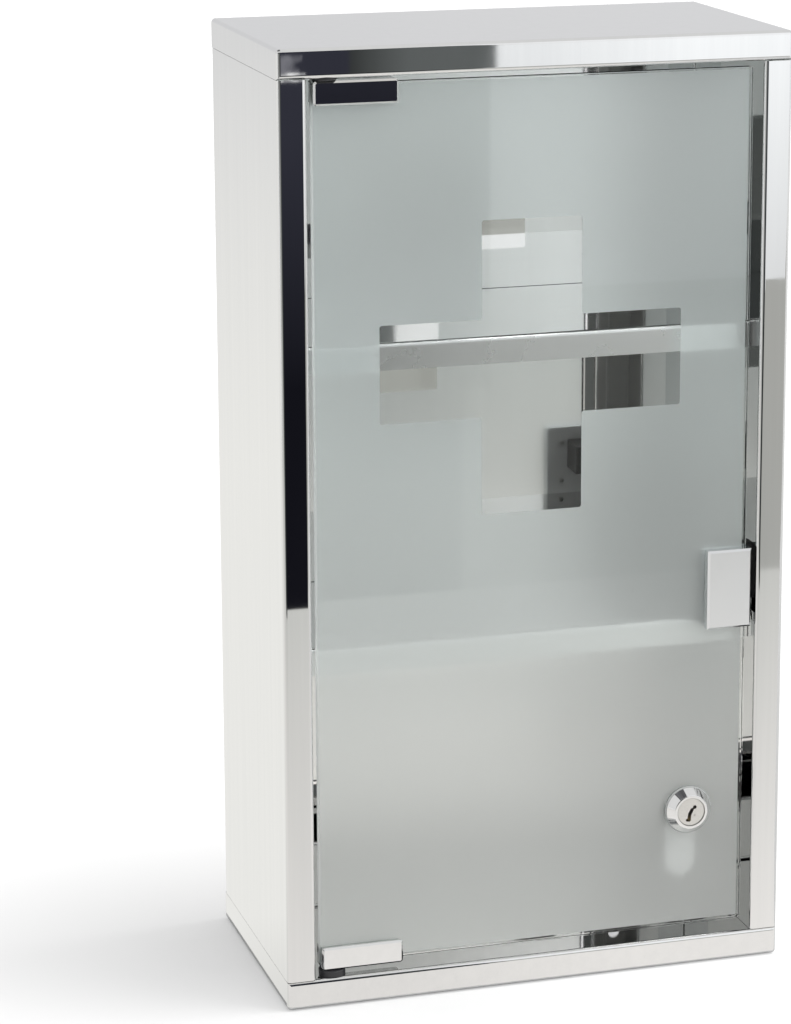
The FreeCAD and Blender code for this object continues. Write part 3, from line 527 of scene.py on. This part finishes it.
card("pale_patch_reflection", upright(left=0.043, right=0.060, foot=0.3535, top=patches_meet, y=patch_plane),
     dark=(0.30, 0.30, 0.32), light=(1.0, 1.0, 1.0), grains=(110.0, 110.0, 150.0))
card("grey_patch_reflection", upright(left=0.040, right=0.058, foot=patches_meet, top=0.371, y=patch_plane),
     dark=(0.036, 0.037, 0.052), light=(0.24, 0.24, 0.27), grains=(75.0, 75.0, 75.0))
card("grey_wall_reflection", upright(left=0.17, right=0.90, foot=card_foot, top=wall_top),
     dark=(0.40, 0.405, 0.38), light=(0.50, 0.50, 0.48), span=("X", 0.26, 0.44))
card("white_screen_reflection", upright(screen_left, screen_right, wall_top, screen_top),
     dark=(0.88, 0.89, 0.90), light=(1.17, 1.19, 1.21), span=("Z", 0.20, 0.37),
     rise=("X", 0.22, 0.33, 0.86))
card("upper_screen_reflection", upright(left=screen_left, right=screen_right, foot=screen_top, top=1.10),
     dark=(0.96, 0.97, 0.98), light=(1.10, 1.11, 1.13), span=("X", 0.20, 0.32))
card("table_front_reflection",
     level(left=-1.2, right=0.16, near=front_plane, far=level_seam, z=card_level, near_right=0.42),
     dark=(0.705, 0.705, 0.68), light=(0.99, 0.965, 0.94), span=("Y", -0.70, -0.09),
     rise=("X", -0.06, 0.05, 0.915))
card("table_left_reflection",
     level(-floor_reach, case_left - clear_of_case, level_seam, floor_reach, card_level),
     dark=(0.95, 0.945, 0.915), light=(0.79, 0.79, 0.79), span=("Y", 1.0, 3.6),
     rise=("Y", level_seam, 0.06, 0.86))
card("dark_ceiling_reflection", level(left=-1.05, right=0.05, near=-0.6, far=0.5, z=1.5),
     dark=(0.06, 0.06, 0.065), light=(0.22, 0.22, 0.23), grains=(2.0, 2.0, 2.0))
card("grey_backdrop_reflection", upright(left=-1.5, right=2.6, foot=0.5, top=2.4, y=2.3),
     dark=(0.71, 0.712, 0.725), light=(0.74, 0.742, 0.755), grains=(1.0, 1.0, 1.0))

# Light
# A surround that is plain white to the camera, the steel and the glass and a little stronger as light on
# the cabinet, and two soft far lamps: one high on the right and one low in front.

world = bpy.data.worlds.new("white_surround")
bpy.context.scene.world = world
world.use_nodes = True
world.node_tree.nodes.clear()
path = add(world.node_tree, "LightPath")
looked_at = either(world.node_tree, path.outputs["Is Camera Ray"], path.outputs["Is Glossy Ray"],
                   path.outputs["Is Transmission Ray"])
surround = add(world.node_tree, "Background",
               Strength=mapped(world.node_tree, looked_at, low=0.0, high=1.0, to=(1.45, 1.0)))
world_output = add(world.node_tree, "OutputWorld")
world.node_tree.links.new(surround.outputs["Background"], world_output.inputs["Surface"])


def soft_lamp(name, place, spread, strength):
    """A far lamp that shines from a place towards the origin, spread over an angle in degrees."""
    data = bpy.data.lights.new(name, "SUN")
    data.angle = math.radians(spread)
    data.energy = strength
    lamp = bpy.data.objects.new(name, data)
    bpy.context.scene.collection.objects.link(lamp)
    lamp.location = place
    lamp.rotation_mode = "QUATERNION"
    lamp.rotation_quaternion = (-Vector(place)).to_track_quat("-Z", "Y")
    lamp.visible_camera = False
    lamp.visible_glossy = False


soft_lamp("lamp_right", (1.5, -0.45, 1.9), spread=40.0, strength=2.1)
soft_lamp("lamp_front", (0.6, -2.2, 0.6), spread=60.0, strength=1.5)

bpy.context.scene.view_settings.view_transform = "Standard"
